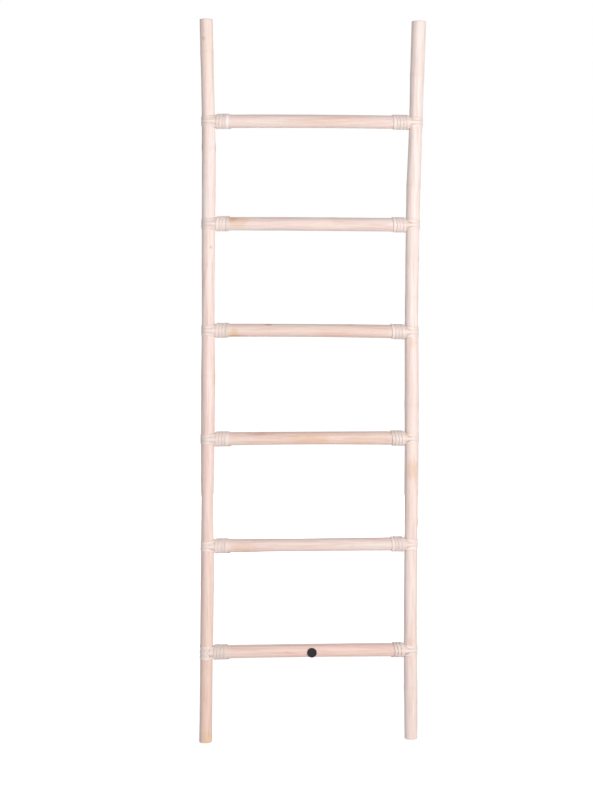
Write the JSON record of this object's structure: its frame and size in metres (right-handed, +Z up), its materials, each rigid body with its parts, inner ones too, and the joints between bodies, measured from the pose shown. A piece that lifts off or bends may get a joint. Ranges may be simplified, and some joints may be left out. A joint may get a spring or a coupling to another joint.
{
  "type": "blanket ladder",
  "caption": "Tall leaning ladder of whitewashed rattan cane, its rungs bound to the poles with flat peel, for hanging blankets on.",
  "frame": {"origin": "on the floor, under the middle of the bounding box", "axes": "+Z up along the poles, the front faces -Y, +X to the right as seen from the front"},
  "size_m": [0.569, 0.0396, 1.8],
  "materials": {
    "cane": "whitewashed rattan cane, satin",
    "peel": "whitewashed flat rattan peel, satin",
    "fastener_steel": "zinc-plated steel",
    "tag": "matt black, bare"
  },
  "bodies": {
    "root": {"left_pole": "cane", "right_pole": "cane", "rung_1": "cane", "rung_2": "cane", "rung_3": "cane", "rung_4": "cane", "rung_5": "cane", "rung_6": "cane", "lashing_1_left": "peel", "rung_wrap_1_left": "peel", "lashing_1_right": "peel", "rung_wrap_1_right": "peel", "lashing_2_left": "peel", "rung_wrap_2_left": "peel", "lashing_2_right": "peel", "rung_wrap_2_right": "peel", "lashing_3_left": "peel", "rung_wrap_3_left": "peel", "lashing_3_right": "peel", "rung_wrap_3_right": "peel", "lashing_4_left": "peel", "rung_wrap_4_left": "peel", "lashing_4_right": "peel", "rung_wrap_4_right": "peel", "lashing_5_left": "peel", "rung_wrap_5_left": "peel", "lashing_5_right": "peel", "rung_wrap_5_right": "peel", "lashing_6_left": "peel", "rung_wrap_6_left": "peel", "lashing_6_right": "peel", "rung_wrap_6_right": "peel", "joint_screws": "fastener_steel", "lashing_brads": "fastener_steel", "wrap_brads": "fastener_steel", "tag_disc": "tag", "tag_pin": "fastener_steel"}
  },
  "joints": []
}
